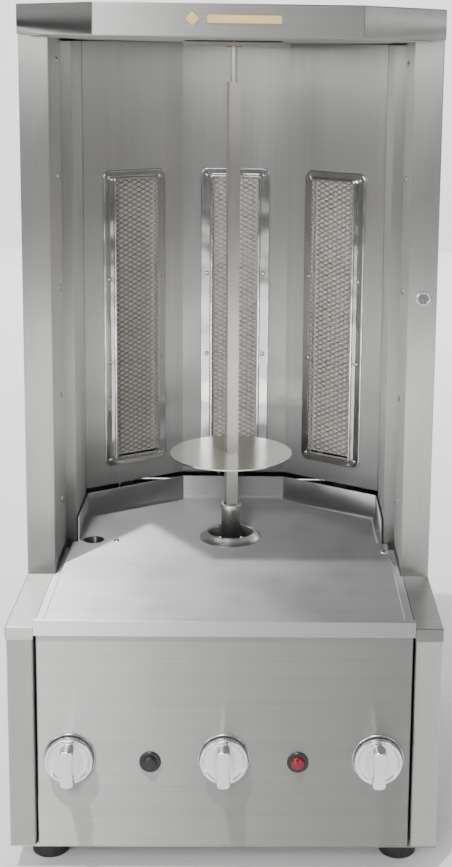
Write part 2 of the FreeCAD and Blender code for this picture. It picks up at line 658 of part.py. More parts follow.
def hood():
    shell = prism(HOOD_OUTLINE, (POST_TOP, HOOD_TOP))
    shell = shell.makeFillet(BEND_RADIUS, upright_edges(shell, HOOD_OUTLINE))
    rim = [edge for edge in shell.Edges if edge.BoundBox.ZMin > HOOD_TOP - 0.1]
    rim += [edge for edge in shell.Edges if edge.BoundBox.ZMax < POST_TOP + 0.1]
    shell = shell.makeFillet(BEND_RADIUS - 0.4, rim)
    inside = mitred(HOOD_OUTLINE, SHEET, closed=True)
    shell = shell.cut(prism(inside, (POST_TOP + SHEET, HOOD_TOP - SHEET)))
    mouth = mitred(HOOD_OUTLINE, HOOD_FLANGE, closed=True)
    return shell.cut(prism(mouth, (POST_TOP - 1, POST_TOP + 2 * SHEET)))


def ceiling_height(y):
    """Height of the ceiling's underside, which falls a little towards the reflectors."""
    return POST_TOP - CEILING_DROP * (y - CEILING_FRONT) / (REFLECTOR_Y - CEILING_FRONT)


def hood_ceiling():
    front, back = CEILING_FRONT, TRAY_BACK
    section = [Vector(-HOOD_HALF, front, ceiling_height(front)), Vector(-HOOD_HALF, back, ceiling_height(back)),
               Vector(-HOOD_HALF, back, ceiling_height(back) + SHEET),
               Vector(-HOOD_HALF, front, ceiling_height(front) + SHEET)]
    slab = Part.Face(Part.makePolygon(section + section[:1])).extrude(Vector(2 * HOOD_HALF, 0, 0))
    edge = mitred(HOOD_OUTLINE, CEILING_FRONT - HOOD_FRONT, closed=True)
    half = [edge[5], edge[4], (edge[4][0], POST_FACE - 1), (POST_INNER - 1, POST_FACE - 1),
            (POST_INNER - 1, STEP_Y - 1), (WALL_X - 1, STEP_Y - 1), (WALL_X - 1, WALL_END - 1),
            (CORNER_X - 1, REFLECTOR_Y - 1)]
    half = [point for point in half if point != edge[4] or point[1] < POST_FACE - 1]
    outline = half + [(-x, y) for x, y in reversed(half)]
    ceiling = slab.common(prism(outline, (POST_TOP - 20, POST_TOP + 20)))
    return ceiling.cut(rod((0, SPIT_Y, POST_TOP - 20), (0, 0, 1), 6.0, 40))


def top_bracket():
    width, depth, height = 2 * BRACKET_HALF, (SPIT_Y - 45, SPIT_Y + 45), BRACKET_TOP - BRACKET_BOTTOM
    pan = rounded_block(width, 2 * height, 3.5, depth)
    inner = rounded_block(width - 4, 2 * height - 4, 2.0, (depth[0] + 2, depth[1] - 2))
    pan = pan.cut(inner).common(box((-width, width), (depth[0] - 1, depth[1] + 1), (-2 * height, 0)))
    pan.translate(Vector(0, 0, BRACKET_TOP))
    return pan.cut(rod((0, SPIT_Y, BRACKET_BOTTOM - 1), (0, 0, 1), 7.0, 10))


def top_bush():
    bore = SPIT_PIN_RADIUS + RUNNING_FIT
    profile = [(bore, -1.6), (10, -1.6), (10, 0), (7, 0), (7, 4.2), (bore, 4.2)]
    return turned(profile, (0, SPIT_Y, BRACKET_BOTTOM), (0, 0, 1))


# ---- drive and spit -------------------------------------------------------------------------
def square_bar(side, z):
    bar = box((-side / 2, side / 2), (-side / 2, side / 2), z)
    bar.rotate(Vector(0, 0, 0), Vector(0, 0, 1), SPIT_TURN)
    bar.translate(Vector(0, SPIT_Y, 0))
    return bar


def motor_bracket():
    foot = BASE_BOTTOM + SHEET + GAP
    y = (SPIT_Y - 55, SPIT_Y + 55)
    bridge = box((-BRIDGE_HALF, BRIDGE_HALF), y, (foot, MOTOR_TOP + BRIDGE_SHEET))
    inner = BRIDGE_HALF - BRIDGE_SHEET
    bridge = bridge.cut(box((-inner, inner), (y[0] - 1, y[1] + 1), (foot - 1, MOTOR_TOP)))
    toe = box((-BRIDGE_HALF - 18, BRIDGE_HALF + 18), y, (foot, foot + BRIDGE_SHEET))
    toe = toe.cut(box((-inner, inner), (y[0] - 1, y[1] + 1), (foot - 1, MOTOR_TOP)))
    return bridge.fuse(toe).removeSplitter().cut(rod((0, SPIT_Y, MOTOR_TOP - 5), (0, 0, 1), 20, 10))


def gear_motor():
    gearbox = box((-42, 42), (SPIT_Y - 42, SPIT_Y + 42), (MOTOR_TOP - 36, MOTOR_TOP))
    corners = [edge for edge in gearbox.Edges if edge.BoundBox.ZLength > 35]
    gearbox = gearbox.makeFillet(10, corners)
    motor = rod((0, SPIT_Y, MOTOR_TOP - 94), (0, 0, 1), 31, 60)
    bore = rod((0, SPIT_Y, SHAFT_BOTTOM - 1), (0, 0, 1), SHAFT_RADIUS + RUNNING_FIT, 40)
    return gearbox.fuse(motor).removeSplitter().cut(bore)


def motor_shaft():
    return rod((0, SPIT_Y, SHAFT_BOTTOM), (0, 0, 1), SHAFT_RADIUS, SHAFT_TOP - SHAFT_BOTTOM)


def drive_socket():
    height = SOCKET_TOP - SOCKET_BOTTOM
    socket = turned([(0, 0), (SOCKET_RADIUS, 0), (SOCKET_RADIUS, height - 1), (SOCKET_RADIUS - 1, height), (0, height)],
                    (0, SPIT_Y, SOCKET_BOTTOM), (0, 0, 1))
    socket = socket.cut(rod((0, SPIT_Y, SOCKET_BOTTOM - 1), (0, 0, 1), SHAFT_RADIUS, SHAFT_TOP - SOCKET_BOTTOM + 1))
    return socket.cut(square_bar(SPIT_SIDE + 4 * RUNNING_FIT, (SHAFT_TOP, SOCKET_TOP + 1)))


PIN_Z = PLATE_Z - PLATE_THICKNESS / 2 - 1.9


def across_spit(radius, length):
    """Rod through the spit bar, square to one of its faces."""
    turn = math.radians(SPIT_TURN)
    axis = (math.cos(turn), math.sin(turn), 0)
    start = (-axis[0] * length / 2, SPIT_Y - axis[1] * length / 2, PIN_Z)
    return rod(start, axis, radius, length)


def spit_bar():
    bar = square_bar(SPIT_SIDE, (SPIT_BOTTOM, SPIT_SHOULDER))
    pin = rod((0, SPIT_Y, SPIT_SHOULDER - 5), (0, 0, 1), SPIT_PIN_RADIUS, SPIT_PIN_TOP - SPIT_SHOULDER + 5)
    return bar.fuse(pin).removeSplitter().cut(across_spit(1.65, 40))


def plate_pin():
    return across_spit(1.6, 26)


def meat_plate():
    plate = rod((0, SPIT_Y, PLATE_Z - PLATE_THICKNESS / 2), (0, 0, 1), PLATE_RADIUS, PLATE_THICKNESS)
    return plate.cut(square_bar(SPIT_SIDE + 4 * RUNNING_FIT, (PLATE_Z - 5, PLATE_Z + 5)))


def drain_screw():
    return round_screw((*DRAIN_SCREW, TRAY_FLOOR), (0, 0, 1), 4.0, 2.2, 6)


def tray_bolt():
    return round_screw((*TRAY_BOLT, TRAY_FLOOR), (0, 0, 1), 5.4, 3.6, 8)


# ---- files ----------------------------------------------------------------------------------
SIDES = {"left": -1, "centre": 0, "right": 1}

nodes = {
    "base_bottom_plate": base_bottom_plate(),
    "base_front_panel": base_front_panel(),
    "right_base_side": right_base_side(),
    "left_base_side": mirrored(right_base_side()),
    "base_side_caps": [right_base_cap(), mirrored(right_base_cap())],
    "base_back_panel": base_back_panel(),
    "rubber_feet": rubber_feet(),
    "drip_tray": drip_tray(),
    "tray_collar": tray_collar(),
    "right_side_shell": right_plug_hole(right_side_shell()),
    "left_side_shell": mirrored(right_side_shell()),
    "right_side_liner": right_side_liner(),
    "left_side_liner": mirrored(right_side_liner()),
    "case_screws": liner_screws() + [tray_bolt(), drain_screw()],
    "post_plug": post_plug(),
    "upper_back_panel": upper_back_panel(),
    "hood": hood(),
    "hood_ceiling": hood_ceiling(),
    "top_bracket": top_bracket(),
    "top_bush": top_bush(),
    "reflector_sheet": reflector_sheet(),
    "burner_frame_screws": burner_frame_screws(),
    "burner_meshes": burner_meshes(),
    "burner_plaques": burner_plaques(),
    "spark_electrodes": spark_electrodes(),
    "gas_jets": gas_jets(),
    "gas_supply_pipes": gas_supply_pipes(),
    "gas_manifold": gas_manifold(),
    "gas_valve_bodies": gas_valve_bodies(),
    "gas_inlet_fitting": gas_inlet_fitting(),
    "cable_gland": cable_gland(),
    "knob_bezels": knob_bezels(),
    "button_housings": button_housings(),
    "ignition_button": push_button(BUTTON_X[0]),
    "motor_button": push_button(BUTTON_X[1]),
    "ignition_module": ignition_module(),
    "gear_motor": gear_motor(),
    "motor_bracket": motor_bracket(),
    "motor_shaft": motor_shaft(),
    "drive_socket": drive_socket(),
    "spit_bar": spit_bar(),
    "plate_pin": plate_pin(),
    "meat_plate": meat_plate(),
}
for (name, side), x in zip(SIDES.items(), KNOB_X):
    nodes[name + "_burner_frame"] = burner_frame(side)
    nodes[name + "_burner_body"] = burner_body(side)
    nodes[name + "_valve_plug"] = valve_plug(x)
    nodes[name + "_valve_stem"] = valve_stem(x)
    nodes[name + "_gas_knob"] = gas_knob(x)

os.makedirs("parts", exist_ok=True)
for node, made in nodes.items():
    shape = Part.makeCompound(made) if isinstance(made, list) else made
    if not shape.isValid():
        print("not valid:", node)
    print(f"{node}: {len(shape.Solids)} solid(s), {shape.Volume / 1000:.2f} cm3")
    shape.exportStep(f"parts/{node}.step")
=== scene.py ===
import math

import bmesh
import bpy
from mathutils import Matrix, Vector


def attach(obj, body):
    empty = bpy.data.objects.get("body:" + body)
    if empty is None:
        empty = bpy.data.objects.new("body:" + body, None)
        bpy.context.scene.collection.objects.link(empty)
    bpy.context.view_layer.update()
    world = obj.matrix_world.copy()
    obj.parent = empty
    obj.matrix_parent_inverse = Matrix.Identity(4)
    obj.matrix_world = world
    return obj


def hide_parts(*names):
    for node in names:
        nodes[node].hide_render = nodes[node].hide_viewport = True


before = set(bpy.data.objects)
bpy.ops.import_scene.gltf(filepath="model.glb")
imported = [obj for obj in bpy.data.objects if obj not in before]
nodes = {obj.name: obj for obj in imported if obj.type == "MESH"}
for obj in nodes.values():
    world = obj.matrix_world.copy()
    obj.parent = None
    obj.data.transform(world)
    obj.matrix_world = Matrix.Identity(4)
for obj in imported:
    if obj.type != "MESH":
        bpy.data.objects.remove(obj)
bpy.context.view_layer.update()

scene = bpy.context.scene


# ---- camera ---------------------------------------------------------------------------------
# A short telephoto lens stands 1.5 m in front of the panel, level with the hood. It is tipped
# down ten degrees, and shifted so that the machine fills the frame.
camera_data = bpy.data.cameras.new("camera")
camera = bpy.data.objects.new("camera", camera_data)
scene.collection.objects.link(camera)
camera_data.lens = 59.79
camera_data.shift_x = -0.0721
camera_data.shift_y = -0.1663
camera.matrix_world = (
    Matrix.Translation((0.0373, -1.7562, 0.928))
    @ Matrix.Rotation(-0.0183, 4, "Z")
    @ Matrix.Rotation(math.pi / 2 - 0.1739, 4, "X")
    @ Matrix.Rotation(0.0137, 4, "Z")
)
scene.camera = camera


# ---- studio ---------------------------------------------------------------------------------
# The machine stands on pale paper that turns up into a pale wall behind it. Light boxes stand
# in front and at the sides, one lights the wall, and a hard lamp shines down from high on the left.
bpy.ops.object.select_all(action="DESELECT")
bpy.ops.mesh.primitive_plane_add(size=9)
backdrop = bpy.context.object
backdrop.name = "backdrop"
bpy.ops.object.mode_set(mode="EDIT")
bpy.ops.mesh.select_mode(type="EDGE")
bpy.ops.mesh.select_all(action="DESELECT")
sweep = bmesh.from_edit_mesh(backdrop.data)
for edge in sweep.edges:
    if all(corner.co.y > 4 for corner in edge.verts):
        edge.select_set(True)
bmesh.update_edit_mesh(backdrop.data)
bpy.ops.mesh.extrude_region_move(TRANSFORM_OT_translate={"value": (0, 0, 5)})
bpy.ops.object.mode_set(mode="OBJECT")


def new_finish(name):
    """A new material, with its node tree and its shader."""
    material = bpy.data.materials.new(name)
    material.use_nodes = True
    return material, material.node_tree, material.node_tree.nodes["Principled BSDF"]


paper_finish, paper, paper_shader = new_finish("pale_paper")
paper_grain = paper.nodes.new("ShaderNodeTexNoise")
paper_grain.inputs["Scale"].default_value = 3.0
paper_place = paper.nodes.new("ShaderNodeTexCoord")
paper.links.new(paper_place.outputs["Object"], paper_grain.inputs["Vector"])
paper_tone = paper.nodes.new("ShaderNodeValToRGB")
paper_tone.color_ramp.elements[0].color = (0.86, 0.86, 0.855, 1)
paper_tone.color_ramp.elements[1].color = (0.90, 0.90, 0.895, 1)
paper.links.new(paper_grain.outputs["Fac"], paper_tone.inputs["Fac"])
paper.links.new(paper_tone.outputs["Color"], paper_shader.inputs["Base Color"])
paper_shader.inputs["Roughness"].default_value = 0.8
backdrop.data.materials.append(paper_finish)

studio = bpy.data.worlds.new("studio")
scene.world = studio
studio.use_nodes = True
studio.node_tree.nodes["Background"].inputs["Color"].default_value = (0.94, 0.95, 0.96, 1)
studio.node_tree.nodes["Background"].inputs["Strength"].default_value = 0.12


def light_box(name, place, target, width, height, power):
    """A soft rectangular lamp that points at its target."""
    data = bpy.data.lights.new(name, "AREA")
    data.shape = "RECTANGLE"
    data.size = width
    data.size_y = height
    data.energy = power
    lamp = bpy.data.objects.new(name, data)
    scene.collection.objects.link(lamp)
    lamp.location = place
    lamp.rotation_euler = (Vector(target) - Vector(place)).to_track_quat("-Z", "Y").to_euler()
    lamp.visible_camera = False


machine = (0, -0.1, 0.5)
light_box("tall_left_box", (-1.8, -3.0, 1.15), machine, 1.5, 0.45, 36)
light_box("high_left_box", (-2.2, -3.0, 2.4), machine, 0.9, 0.8, 20)
light_box("high_front_box", (-0.7, -3.0, 2.05), machine, 0.7, 1.2, 40)
light_box("low_front_box", (0.0, -3.0, 1.15), machine, 0.7, 0.4, 6)
light_box("right_front_box", (1.5, -3.0, 0.95), machine, 0.8, 0.7, 7)
light_box("left_wall_box", (-2.3, -0.8, 1.9), machine, 1.2, 1.0, 26)
light_box("right_wall_box", (2.3, -0.8, 1.9), machine, 1.2, 1.0, 9)
light_box("right_rear_box", (2.5, 1.3, 0.95), machine, 1.6, 1.3, 12)
light_box("left_floor_strip", (-0.55, -2.1, 0.03), (-0.15, -0.2, 0.35), 0.5, 0.16, 1.8)
light_box("right_floor_strip", (0.7, -2.1, 0.03), (0.2, -0.2, 0.35), 0.5, 0.16, 1.8)
light_box("paper_lamp", (0.0, 2.2, 3.4), (0.0, 4.4, 0.8), 4.0, 0.8, 200)


def hard_lamp(name, travel, power, spread_angle):
    """A far, hard lamp shining along travel."""
    data = bpy.data.lights.new(name, "SUN")
    data.energy = power
    data.angle = math.radians(spread_angle)
    lamp = bpy.data.objects.new(name, data)
    scene.collection.objects.link(lamp)
    lamp.rotation_euler = Vector(travel).to_track_quat("-Z", "Y").to_euler()


hard_lamp("high_lamp", (0.118, 0.187, -0.627), 2.2, 1.6)


# ---- casing sheets --------------------------------------------------------------------------
# Posts, cheeks, front panel, hood and back are folded 1.2 mm stainless sheet with a fine brushed
# grain, with wide streaks along it and faint hand marks. The grain stands upright on the posts,
# cheeks and back, and runs from side to side on the panel, hood and caps. The sheets with the
# level grain are a darker copy of the same steel: painted shade.
def joined(tree, source, target):
    tree.links.new(source, target)


def fed(tree, value, entry):
    """Feed a socket from another socket, or set it to a number or colour."""
    if isinstance(value, bpy.types.NodeSocket):
        joined(tree, value, entry)
    elif isinstance(value, tuple) and len(value) == 3 and len(entry.default_value) == 4:
        entry.default_value = (*value, 1)
    else:
        entry.default_value = value


def calculated(tree, operation, first, second=0.0):
    node = tree.nodes.new("ShaderNodeMath")
    node.operation = operation
    for value, entry in zip((first, second), node.inputs):
        fed(tree, value, entry)
    return node.outputs[0]


def spread(tree, source, start, end, low, high):
    """The source value, taken from start..end to low..high and held at the ends."""
    node = tree.nodes.new("ShaderNodeMapRange")
    for value, entry in zip((source, start, end, low, high), node.inputs):
        fed(tree, value, entry)
    return node.outputs["Result"]


def blended(tree, factor, first, second, mode="MIX"):
    """Two colours mixed by the factor."""
    node = tree.nodes.new("ShaderNodeMix")
    node.data_type = "RGBA"
    node.blend_type = mode
    for value, entry in ((factor, node.inputs[0]), (first, node.inputs[6]), (second, node.inputs[7])):
        fed(tree, value, entry)
    return node.outputs[2]


def noise(tree, place, scale, detail=2.0, roughness=0.5):
    node = tree.nodes.new("ShaderNodeTexNoise")
    node.inputs["Scale"].default_value = scale
    node.inputs["Detail"].default_value = detail
    node.inputs["Roughness"].default_value = roughness
    joined(tree, place, node.inputs["Vector"])
    return node.outputs["Fac"]


def own_place(tree):
    """A point's place on the machine, in metres."""
    return tree.nodes.new("ShaderNodeTexCoord").outputs["Object"]


def split_place(tree):
    node = tree.nodes.new("ShaderNodeSeparateXYZ")
    joined(tree, own_place(tree), node.inputs[0])
    return node.outputs


def raised(tree, height, depth):
    """A surface whose relief is height times depth, in metres."""
    node = tree.nodes.new("ShaderNodeBump")
    node.inputs["Strength"].default_value = 1.0
    node.inputs["Distance"].default_value = depth
    joined(tree, height, node.inputs["Height"])
    return node.outputs["Normal"]


def make_brushed_grain():
    group = bpy.data.node_groups.new("brushed_grain", "ShaderNodeTree")
    group.interface.new_socket(name="Stretch", in_out="INPUT", socket_type="NodeSocketVector")
    for name in ("Lines", "Streaks", "Hand Marks"):
        group.interface.new_socket(name=name, in_out="OUTPUT", socket_type="NodeSocketFloat")
    entry, leave = group.nodes.new("NodeGroupInput"), group.nodes.new("NodeGroupOutput")
    place = own_place(group)
    drawn_out = group.nodes.new("ShaderNodeVectorMath")
    drawn_out.operation = "MULTIPLY"
    joined(group, place, drawn_out.inputs[0])
    joined(group, entry.outputs["Stretch"], drawn_out.inputs[1])
    joined(group, noise(group, drawn_out.outputs[0], 1.0, 4.0, 0.65), leave.inputs["Lines"])
    joined(group, noise(group, drawn_out.outputs[0], 0.07, 3.0, 0.6), leave.inputs["Streaks"])
    joined(group, noise(group, place, 11.0, 4.0, 0.6), leave.inputs["Hand Marks"])
    return group


BRUSHED_GRAIN = make_brushed_grain()
GRAIN_ALONG = {"X": (10, 1100, 1100), "Z": (1100, 1100, 10)}


def grain_of(tree, along):
    node = tree.nodes.new("ShaderNodeGroup")
    node.node_tree = BRUSHED_GRAIN
    node.inputs["Stretch"].default_value = GRAIN_ALONG[along]
    return node.outputs


def brushed_steel(name, along, dark, light, matt=(0.38, 0.46), anisotropy=1.0):
    """Brushed steel with its grain along an axis, which its glints are drawn round."""
    material, tree, shader = new_finish(name)
    grain = grain_of(tree, along)
    tone = blended(tree, spread(tree, grain["Lines"], 0.2, 0.8, 0, 1), dark, light)
    tone = blended(tree, 1.0, tone, spread(tree, grain["Streaks"], 0.3, 0.7, 0.96, 1.03), "MULTIPLY")
    tone = blended(tree, 1.0, tone, spread(tree, grain["Hand Marks"], 0.35, 0.65, 0.96, 1.02), "MULTIPLY")
    joined(tree, tone, shader.inputs["Base Color"])
    shader.inputs["Metallic"].default_value = 1.0
    dull = spread(tree, grain["Hand Marks"], 0.35, 0.65, -0.02, 0.04)
    rough = calculated(tree, "ADD", spread(tree, grain["Lines"], 0.3, 0.7, *matt), dull)
    joined(tree, rough, shader.inputs["Roughness"])
    shader.inputs["Anisotropic"].default_value = anisotropy
    glint = tree.nodes.new("ShaderNodeTangent")
    glint.direction_type = "RADIAL"
    glint.axis = along
    joined(tree, glint.outputs[0], shader.inputs["Tangent"])
    joined(tree, raised(tree, grain["Lines"], 0.00002), shader.inputs["Normal"])
    return material


def finished_with(material, *names):
    """Give these CAD pieces one material all over."""
    for name in names:
        slots = nodes[name].data.materials
        if len(slots) == 0:
            slots.append(material)
        for i in range(len(slots)):
            slots[i] = material


CASING_DARK = (0.48, 0.475, 0.46)
CASING_LIGHT = (0.57, 0.565, 0.55)
post_steel = brushed_steel("upright_grain_casing", "Z", CASING_DARK, CASING_LIGHT)
# The panel, hood, caps, bottom plate, top bracket and hood ceiling get the same steel painted darker:
# painted shade, not a different metal.
SHADED_PANEL_DARK = (0.30, 0.295, 0.29)
SHADED_PANEL_LIGHT = (0.40, 0.395, 0.385)
shaded_level_steel = brushed_steel("level_grain_casing_painted_shade", "X", SHADED_PANEL_DARK, SHADED_PANEL_LIGHT)
finished_with(post_steel, "left_base_side", "right_base_side", "left_side_shell", "right_side_shell",
              "upper_back_panel", "base_back_panel", "motor_bracket")
finished_with(shaded_level_steel, "base_front_panel", "base_bottom_plate", "hood", "top_bracket",
              "base_side_caps", "hood_ceiling")


# ---- liners and reflectors ------------------------------------------------------------------
# The sheets round the spit, which are screwed to the posts or folded as one reflector, are plain
# stainless with an upright grain, dulled by heat and fat.
liner_steel = brushed_steel("heat_dulled_steel", "Z", (0.50, 0.495, 0.485), (0.59, 0.585, 0.575),
                            (0.38, 0.48))
finished_with(liner_steel, "left_side_liner", "right_side_liner", "reflector_sheet")


# ---- drip tray ------------------------------------------------------------------------------
# One folded stainless sheet, brushed from side to side. It is held by a bolt at the right, and
# its front lip hangs over the panel.
tray_steel = brushed_steel("tray_steel", "X", (0.48, 0.485, 0.49), (0.55, 0.555, 0.56), (0.40, 0.47))
finished_with(tray_steel, "drip_tray")


# ---- polished pieces ------------------------------------------------------------------------
# Burner frames are thin polished steel pressed over a rim, so their shine runs in waves. Shaft,
# stems and screws are turned or pressed bright steel, the meat plate is a polished disc, and the
# spit is a brushed bar.
def polished_steel(name, tone, matt, wave_depth, wave_scale):
    material, tree, shader = new_finish(name)
    grain = grain_of(tree, "Z")
    shaded = tuple(0.9 * part for part in tone)
    marks = spread(tree, grain["Hand Marks"], 0.35, 0.65, 0, 1)
    joined(tree, blended(tree, marks, shaded, tone), shader.inputs["Base Color"])
    shader.inputs["Metallic"].default_value = 1.0
    joined(tree, spread(tree, grain["Lines"], 0.3, 0.7, *matt), shader.inputs["Roughness"])
    waves = noise(tree, own_place(tree), wave_scale, 1.0)
    joined(tree, raised(tree, waves, wave_depth), shader.inputs["Normal"])
    return material


frame_steel = polished_steel("pressed_bright_steel", (0.80, 0.80, 0.79), (0.08, 0.16), 0.0012, 22.0)
turned_steel = polished_steel("turned_bright_steel", (0.76, 0.755, 0.74), (0.12, 0.22), 0.0001, 60.0)
mirror_steel = polished_steel("mirror_steel", (0.66, 0.665, 0.63), (0.14, 0.24), 0.0004, 14.0)
finished_with(frame_steel, "left_burner_frame", "centre_burner_frame", "right_burner_frame")
finished_with(turned_steel, "motor_shaft", "case_screws", "burner_frame_screws", "plate_pin",
              "left_valve_stem", "centre_valve_stem", "right_valve_stem")
finished_with(mirror_steel, "meat_plate")
spit_steel = brushed_steel("spit_steel", "Z", (0.50, 0.48, 0.45), (0.62, 0.60, 0.565), (0.30, 0.40))
finished_with(spit_steel, "spit_bar")


# ---- burner mesh ----------------------------------------------------------------------------
# A guard of expanded steel sheet lies in front of the ceramic of each burner: level diamonds
# of slanting strands, slit and pulled from one flat sheet, and held under the burner frame.
MESH_CELL = (0.013, 0.00655)
MESH_STRAND = 0.0015
MESH_ROWS = 56
MESH_IN_ROW = 5
MESH_SLANT = 0.0003
MESH_SHEET = 0.0006
MESH_STAND_OFF = 0.0011
TOUCHING = 1e-5

BURNER_TURN = math.radians(33.8)
BURNER_PLACES = {
    "left": (Vector((-0.13125, 0.113, 0.559)), BURNER_TURN),
    "centre": (Vector((0, 0.154, 0.559)), 0.0),
    "right": (Vector((0.13125, 0.113, 0.559)), -BURNER_TURN),
}


def start_from(add, name, **size):
    """A new primitive, in edit mode with everything selected."""
    bpy.ops.object.select_all(action="DESELECT")
    add(**size)
    piece = bpy.context.object
    piece.name = name
    piece.data.name = name
    bpy.ops.object.mode_set(mode="EDIT")
    return piece


def settled(piece):
    """Leave edit mode and put the piece's place and turn into its mesh."""
    bpy.ops.object.mode_set(mode="OBJECT")
    bpy.ops.object.select_all(action="DESELECT")
    piece.select_set(True)
    bpy.context.view_layer.objects.active = piece
    bpy.ops.object.transform_apply(location=True, rotation=True, scale=True)
    return piece


def modified(piece, kind, **settings):
    """Add one modifier and apply it."""
    modifier = piece.modifiers.new(kind.lower(), kind)
    for name, value in settings.items():
        setattr(modifier, name, value)
    bpy.ops.object.select_all(action="DESELECT")
    piece.select_set(True)
    bpy.context.view_layer.objects.active = piece
    bpy.ops.object.modifier_apply(modifier=modifier.name)


def mesh_row(name, count, start):
    """One row of diamond cells, flat on the ground plane."""
    row = start_from(bpy.ops.mesh.primitive_plane_add, name, size=1 / math.sqrt(2))
    bpy.ops.transform.rotate(value=math.radians(45), orient_axis="Z", center_override=(0, 0, 0))
    bpy.ops.transform.resize(value=(*MESH_CELL, 1), center_override=(0, 0, 0))
    bpy.ops.mesh.inset(thickness=MESH_STRAND / 2, depth=0)
    bpy.ops.mesh.delete(type="FACE")
    shape = bmesh.from_edit_mesh(row.data)
    for vertex in shape.verts:
        inside_x = abs(vertex.co.x) < MESH_CELL[0] / 2 - TOUCHING
        inside_y = 1e-4 < abs(vertex.co.y) < MESH_CELL[1] / 2 - TOUCHING
        if inside_x and inside_y:
            vertex.co.z = math.copysign(MESH_SLANT, vertex.co.y)
    bmesh.update_edit_mesh(row.data)
    row.location = start
    settled(row)
    modified(row, "ARRAY", count=count, use_relative_offset=False, use_constant_offset=True,
             constant_offset_displace=(MESH_CELL[0], 0, 0), use_merge_vertices=True,
             merge_threshold=TOUCHING)
    return row


def make_burner_mesh(side):
    width = MESH_CELL[0] * (MESH_IN_ROW - 1) / 2
    height = MESH_CELL[1] * (MESH_ROWS - 0.5) / 2
    full = mesh_row(side + "_burner_mesh", MESH_IN_ROW, (-width, -height + MESH_CELL[1] / 4, 0))
    offset_start = (-width + MESH_CELL[0] / 2, -height + MESH_CELL[1] * 3 / 4, 0)
    mesh_row("between", MESH_IN_ROW - 1, offset_start)
    full.select_set(True)
    bpy.context.view_layer.objects.active = full
    bpy.ops.object.join()
    modified(full, "ARRAY", count=MESH_ROWS, use_relative_offset=False, use_constant_offset=True,
             constant_offset_displace=(0, MESH_CELL[1], 0), use_merge_vertices=True,
             merge_threshold=TOUCHING)
    bpy.ops.object.mode_set(mode="EDIT")
    bpy.ops.mesh.select_all(action="SELECT")
    bpy.ops.mesh.remove_doubles(threshold=TOUCHING)
    bpy.ops.object.mode_set(mode="OBJECT")
    modified(full, "SOLIDIFY", thickness=MESH_SHEET, offset=0)
    place, turn = BURNER_PLACES[side]
    full.rotation_euler = (math.radians(90), 0, turn)
    full.location = place + Matrix.Rotation(turn, 3, "Z") @ Vector((0, -MESH_STAND_OFF, 0))
    return settled(full)


def make_mesh_steel():
    """Grey steel with heat scale."""
    material, tree, shader = new_finish("scaled_mesh_steel")
    scale = noise(tree, own_place(tree), 160.0, 3.0)
    tone = blended(tree, spread(tree, scale, 0.35, 0.65, 0, 1), (0.20, 0.19, 0.18), (0.34, 0.33, 0.31))
    joined(tree, tone, shader.inputs["Base Color"])
    shader.inputs["Metallic"].default_value = 0.8
    joined(tree, spread(tree, scale, 0.35, 0.65, 0.35, 0.55), shader.inputs["Roughness"])
    return material


mesh_steel = make_mesh_steel()
for side in BURNER_PLACES:
    burner_mesh = make_burner_mesh(side)
    burner_mesh.data.materials.append(mesh_steel)
    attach(burner_mesh, "housing")
    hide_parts("burner_meshes")


# ---- burner ceramics ------------------------------------------------------------------------
# Three plaques of cream ceramic fill each burner, pressed with rows of fine flame holes. They
# sit behind the mesh, and heat has browned them in patches. The holes are painted a darker brown,
# as painted shade inside them.
SIDE_BURNER_START = 0.065
HOLES_PER_METRE = 480.0


def make_ceramic():
    """Cream clay, with its holes laid out flat on each burner's own turned face."""
    material, tree, shader = new_finish("holed_cream_ceramic")
    x, y, z = split_place(tree)
    side = calculated(tree, "SUBTRACT", calculated(tree, "GREATER_THAN", x, SIDE_BURNER_START),
                      calculated(tree, "LESS_THAN", x, -SIDE_BURNER_START))
    turn = calculated(tree, "MULTIPLY", side, -BURNER_TURN)
    level = calculated(tree, "ADD", calculated(tree, "MULTIPLY", x, calculated(tree, "COSINE", turn)),
                       calculated(tree, "MULTIPLY", y, calculated(tree, "SINE", turn)))
    flat = tree.nodes.new("ShaderNodeCombineXYZ")
    joined(tree, level, flat.inputs[0])
    joined(tree, z, flat.inputs[1])
    holes = tree.nodes.new("ShaderNodeTexVoronoi")
    holes.voronoi_dimensions = "2D"
    holes.inputs["Scale"].default_value = HOLES_PER_METRE
    holes.inputs["Randomness"].default_value = 0.0
    joined(tree, flat.outputs[0], holes.inputs["Vector"])
    hole_with_painted_shade = spread(tree, holes.outputs["Distance"], 0.24, 0.32, 1.0, 0.0)
    burnt = noise(tree, own_place(tree), 38.0, 4.0)
    clay = blended(tree, spread(tree, burnt, 0.35, 0.7, 0, 1), (0.93, 0.88, 0.82), (0.84, 0.78, 0.71))
    # The holes are mixed to a darker brown: painted shade inside them.
    joined(tree, blended(tree, hole_with_painted_shade, clay, (0.45, 0.40, 0.34)), shader.inputs["Base Color"])
    shader.inputs["Roughness"].default_value = 0.9
    joined(tree, raised(tree, calculated(tree, "SUBTRACT", 1.0, hole_with_painted_shade), 0.0003), shader.inputs["Normal"])
    return material


finished_with(make_ceramic(), "burner_plaques")


# ---- knobs and their bezels -----------------------------------------------------------------
# The gas knobs are satin chromed castings with a wide grip, pushed on their valve stems. Each
# stands in a silvered plastic ring clipped to the panel.
def cast_metal(name, dark, light, matt, metallic=1.0, grain_scale=260.0, depth=0.00004):
    material, tree, shader = new_finish(name)
    fine = noise(tree, own_place(tree), grain_scale, 3.0)
    wide = noise(tree, own_place(tree), 30.0, 3.0)
    tone = blended(tree, spread(tree, wide, 0.35, 0.65, 0, 1), dark, light)
    joined(tree, tone, shader.inputs["Base Color"])
    shader.inputs["Metallic"].default_value = metallic
    joined(tree, spread(tree, fine, 0.3, 0.7, *matt), shader.inputs["Roughness"])
    joined(tree, raised(tree, fine, depth), shader.inputs["Normal"])
    return material


